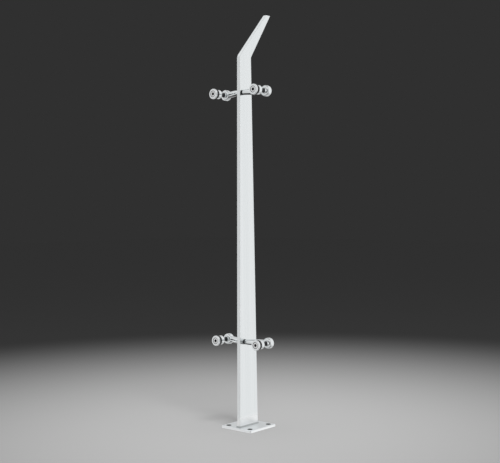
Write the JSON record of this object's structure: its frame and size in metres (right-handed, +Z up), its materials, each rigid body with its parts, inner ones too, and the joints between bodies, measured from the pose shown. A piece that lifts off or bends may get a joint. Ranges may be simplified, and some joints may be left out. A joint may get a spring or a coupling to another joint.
{
  "type": "stainless steel railing post",
  "caption": "Tapered flat-bar railing post on a square base plate, its top leaning back, with two levels of two-arm claws that clamp glass panes.",
  "frame": {"origin": "middle of the base plate's underside", "axes": "+Z up; +X across the blade to the back, the way the top leans; the claws reach out along Y, left is +Y seen from the glass side (-X)"},
  "size_m": [0.146, 0.163, 1.07],
  "materials": {
    "blade_steel": "polished flat bar, with a faint long grain",
    "plate_steel": "satin polished plate",
    "weld_steel": "ground and polished weld bead",
    "cast_steel": "investment cast, mirror polished",
    "turned_steel": "turned and mirror polished",
    "screw_steel": "plain stainless fastener",
    "rubber": "black moulded rubber",
    "nylon": "plain natural nylon"
  },
  "bodies": {
    "root": {"base_plate": "plate_steel", "post_blade": "blade_steel", "foot_weld": "weld_steel", "lower_claw_stud": "screw_steel", "lower_left_arm": "cast_steel", "lower_left_cap_screw": "screw_steel", "lower_left_front_disc": "turned_steel", "lower_left_front_gasket": "rubber", "lower_left_rear_gasket": "rubber", "lower_left_glass_sleeve": "nylon", "lower_left_barrel": "turned_steel", "lower_left_fitting_stud": "screw_steel", "lower_left_cap_nut": "screw_steel", "lower_right_arm": "cast_steel", "lower_right_cap_screw": "screw_steel", "lower_right_front_disc": "turned_steel", "lower_right_front_gasket": "rubber", "lower_right_rear_gasket": "rubber", "lower_right_glass_sleeve": "nylon", "lower_right_barrel": "turned_steel", "lower_right_fitting_stud": "screw_steel", "lower_right_cap_nut": "screw_steel", "upper_claw_stud": "screw_steel", "upper_left_arm": "cast_steel", "upper_left_cap_screw": "screw_steel", "upper_left_front_disc": "turned_steel", "upper_left_front_gasket": "rubber", "upper_left_rear_gasket": "rubber", "upper_left_glass_sleeve": "nylon", "upper_left_barrel": "turned_steel", "upper_left_fitting_stud": "screw_steel", "upper_left_cap_nut": "screw_steel", "upper_right_arm": "cast_steel", "upper_right_cap_screw": "screw_steel", "upper_right_front_disc": "turned_steel", "upper_right_front_gasket": "rubber", "upper_right_rear_gasket": "rubber", "upper_right_glass_sleeve": "nylon", "upper_right_barrel": "turned_steel", "upper_right_fitting_stud": "screw_steel", "upper_right_cap_nut": "screw_steel"}
  },
  "joints": []
}
